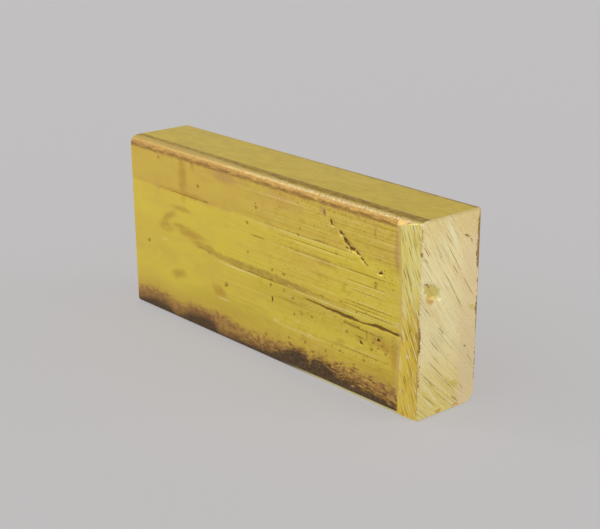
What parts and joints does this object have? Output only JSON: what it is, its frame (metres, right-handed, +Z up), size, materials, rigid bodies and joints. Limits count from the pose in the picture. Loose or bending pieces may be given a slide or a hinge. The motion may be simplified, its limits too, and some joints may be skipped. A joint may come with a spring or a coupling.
{
  "type": "metal ingot",
  "caption": "Short rectangular brass ingot standing on its narrow side, with rounded long edges, sawn ends and a filed flat across one end corner.",
  "frame": {"origin": "on the floor, under the middle of the bar", "axes": "+X along the bar towards the end with the filed flat, +Y from the broad front face to the broad back face, +Z up"},
  "size_m": [0.0889, 0.0158, 0.0381],
  "materials": {
    "brass": "drawn brass with draw lines, scratches and brown tarnish, filed bright at one end"
  },
  "bodies": {
    "root": {"ingot": "brass"}
  },
  "joints": []
}
